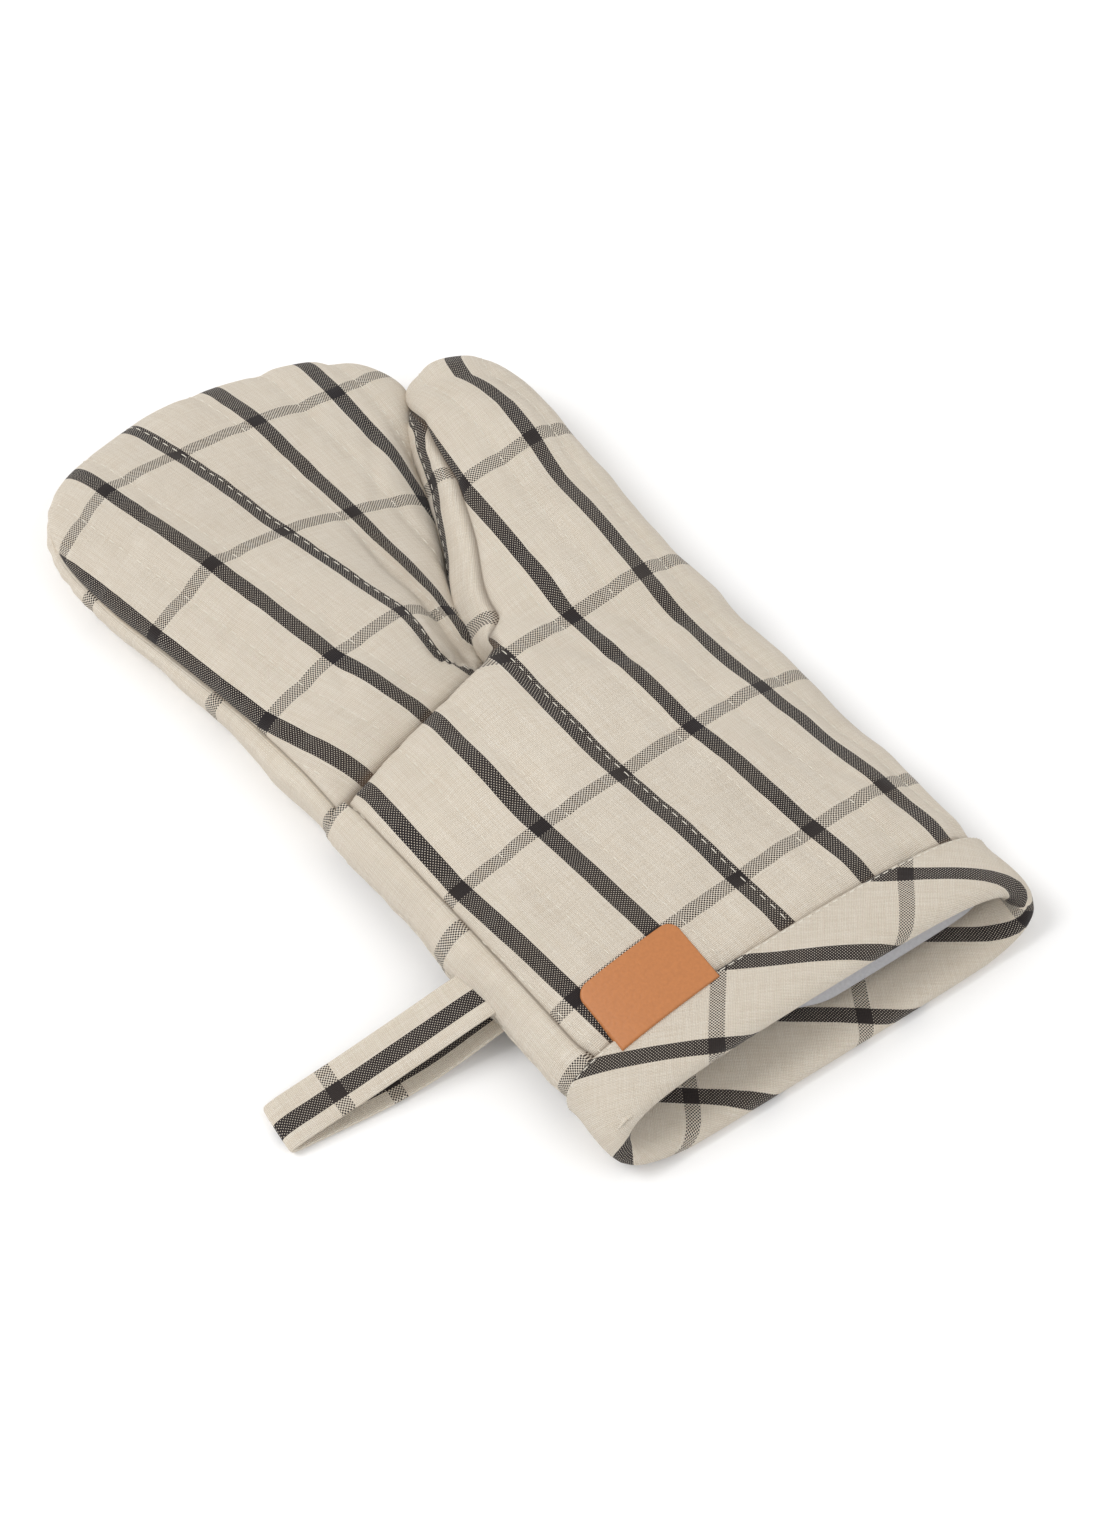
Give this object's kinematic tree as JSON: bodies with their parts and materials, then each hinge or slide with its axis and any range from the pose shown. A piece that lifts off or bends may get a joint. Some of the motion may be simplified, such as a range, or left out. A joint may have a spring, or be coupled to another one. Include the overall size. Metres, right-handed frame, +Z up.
{
  "type": "oven mitt",
  "caption": "Quilted cloth oven mitt with a thumb, a bound cuff, a leather label and a hanging loop at the side seam.",
  "frame": {"origin": "middle of the hand part, on the surface that the mitt lies on", "axes": "+X to the thumb side, +Y to the fingertips, +Z up out of the front panel"},
  "size_m": [0.2485, 0.3464, 0.0399],
  "materials": {
    "checked_cloth": "natural plain weave with a dark windowpane check",
    "wadding": "white cotton wadding",
    "lining": "white cotton cloth",
    "thread": "off-white sewing thread",
    "leather": "smooth tan leather"
  },
  "bodies": {
    "palm": {"palm_front_shell": "checked_cloth", "palm_front_wadding": "wadding", "palm_front_lining": "lining", "palm_back_lining": "lining", "palm_back_wadding": "wadding", "palm_back_shell": "checked_cloth", "cuff_binding": "checked_cloth", "binding_topstitch": "thread", "leather_label": "leather", "palm_front_quilting": "thread", "palm_back_quilting": "thread"},
    "fingers": {"finger_front_shell": "checked_cloth", "finger_front_wadding": "wadding", "finger_front_lining": "lining", "finger_back_lining": "lining", "finger_back_wadding": "wadding", "finger_back_shell": "checked_cloth", "finger_front_quilting": "thread", "finger_back_quilting": "thread"},
    "thumb": {"thumb_front_shell": "checked_cloth", "thumb_front_wadding": "wadding", "thumb_front_lining": "lining", "thumb_back_lining": "lining", "thumb_back_wadding": "wadding", "thumb_back_shell": "checked_cloth", "thumb_front_quilting": "thread", "thumb_back_quilting": "thread"},
    "loop": {"hanging_loop": "checked_cloth", "loop_edge_stitching": "thread"}
  },
  "joints": [
    {"name": "finger_fold", "type": "hinge", "parent": "palm", "child": "fingers", "pos_m": [0.005, 0.016, 0.0295], "axis": [0.9903, 0.1392, 0], "range_deg": [0, 60]},
    {"name": "thumb_fold", "type": "hinge", "parent": "palm", "child": "thumb", "pos_m": [0.005, 0.016, 0.0295], "axis": [0.8712, -0.4909, 0], "range_deg": [0, 25]},
    {"name": "loop_swing", "type": "hinge", "parent": "palm", "child": "loop", "pos_m": [-0.0879, -0.077, 0.016], "axis": [0.1392, 0.9903, 0], "range_deg": [-60, 95]}
  ]
}
